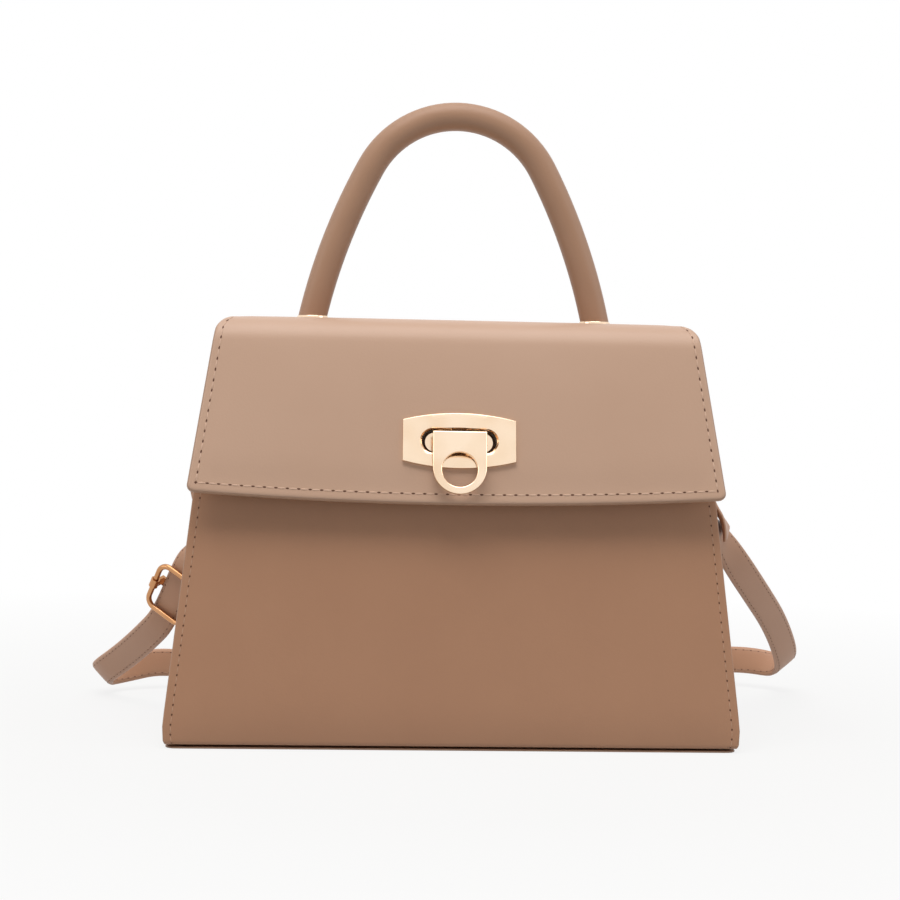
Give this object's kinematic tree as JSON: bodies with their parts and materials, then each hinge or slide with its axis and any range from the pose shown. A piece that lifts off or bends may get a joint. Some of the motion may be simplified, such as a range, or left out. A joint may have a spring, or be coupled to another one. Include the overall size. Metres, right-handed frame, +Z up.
{
  "type": "top handle bag",
  "caption": "Small structured leather top handle bag with a full flap, a metal flip lock, a round tubular handle, ring-hung shoulder strap with a slide, and a lined inside.",
  "frame": {"origin": "middle of the base panel, on the ground it stands on", "axes": "+X to the right seen from the front, +Y to the back, +Z up"},
  "size_m": [0.3119, 0.1881, 0.2461],
  "materials": {
    "flap_leather": "smooth satin",
    "body_leather": "smooth satin",
    "strap_leather": "smooth satin",
    "lining_cloth": "fine weave",
    "fibre_board": "matt",
    "pale_gold": "polished plating",
    "warm_gold": "polished plating",
    "plated_steel": "plated",
    "handle_filler": "matt"
  },
  "bodies": {
    "bag_body": {"flap_tail": "flap_leather", "base_panel": "body_leather", "front_panel": "body_leather", "back_panel": "body_leather", "left_gusset": "body_leather", "right_gusset": "body_leather", "left_ring_tab": "body_leather", "right_ring_tab": "body_leather", "strap_right": "strap_leather", "strap_left": "strap_leather", "strap_hank": "strap_leather", "lining_body": "lining_cloth", "lining_left": "lining_cloth", "lining_right": "lining_cloth", "slip_pocket": "lining_cloth", "base_board": "fibre_board", "front_board": "fibre_board", "back_board": "fibre_board", "lock_base": "pale_gold", "lock_knuckle": "pale_gold", "lock_hinge_pin": "pale_gold", "lock_rivets": "pale_gold", "left_strap_ring": "pale_gold", "right_strap_ring": "pale_gold", "tab_rivets": "pale_gold", "slide_frame": "warm_gold", "slide_bar": "warm_gold", "lock_base_backing": "plated_steel", "lock_spring": "plated_steel"},
    "flap_top": {"flap_top": "flap_leather", "flap_top_board": "fibre_board", "flap_top_lining": "lining_cloth", "handle_sleeve": "body_leather", "handle_core": "handle_filler", "handle_collar_left": "pale_gold", "handle_collar_right": "pale_gold", "handle_screws": "plated_steel", "handle_backing_plates": "plated_steel"},
    "flap_front": {"flap_front": "flap_leather", "flap_front_board": "fibre_board", "flap_front_lining": "lining_cloth", "lock_plate": "pale_gold", "lock_plate_backing": "plated_steel"},
    "catch": {"lock_catch": "pale_gold"}
  },
  "joints": [
    {"name": "flap_lift", "type": "hinge", "parent": "bag_body", "child": "flap_top", "pos_m": [0, 0.02992, 0.15872], "axis": [-1, 0, 0], "range_deg": [0, 105]},
    {"name": "flap_bend", "type": "hinge", "parent": "flap_top", "child": "flap_front", "pos_m": [0, -0.03047, 0.1574], "axis": [-1, 0, 0], "range_deg": [0, 90]},
    {"name": "catch_flip", "type": "hinge", "parent": "bag_body", "child": "catch", "pos_m": [0, -0.04524, 0.1152], "axis": [-1, 0, 0], "range_deg": [0, 90]}
  ]
}
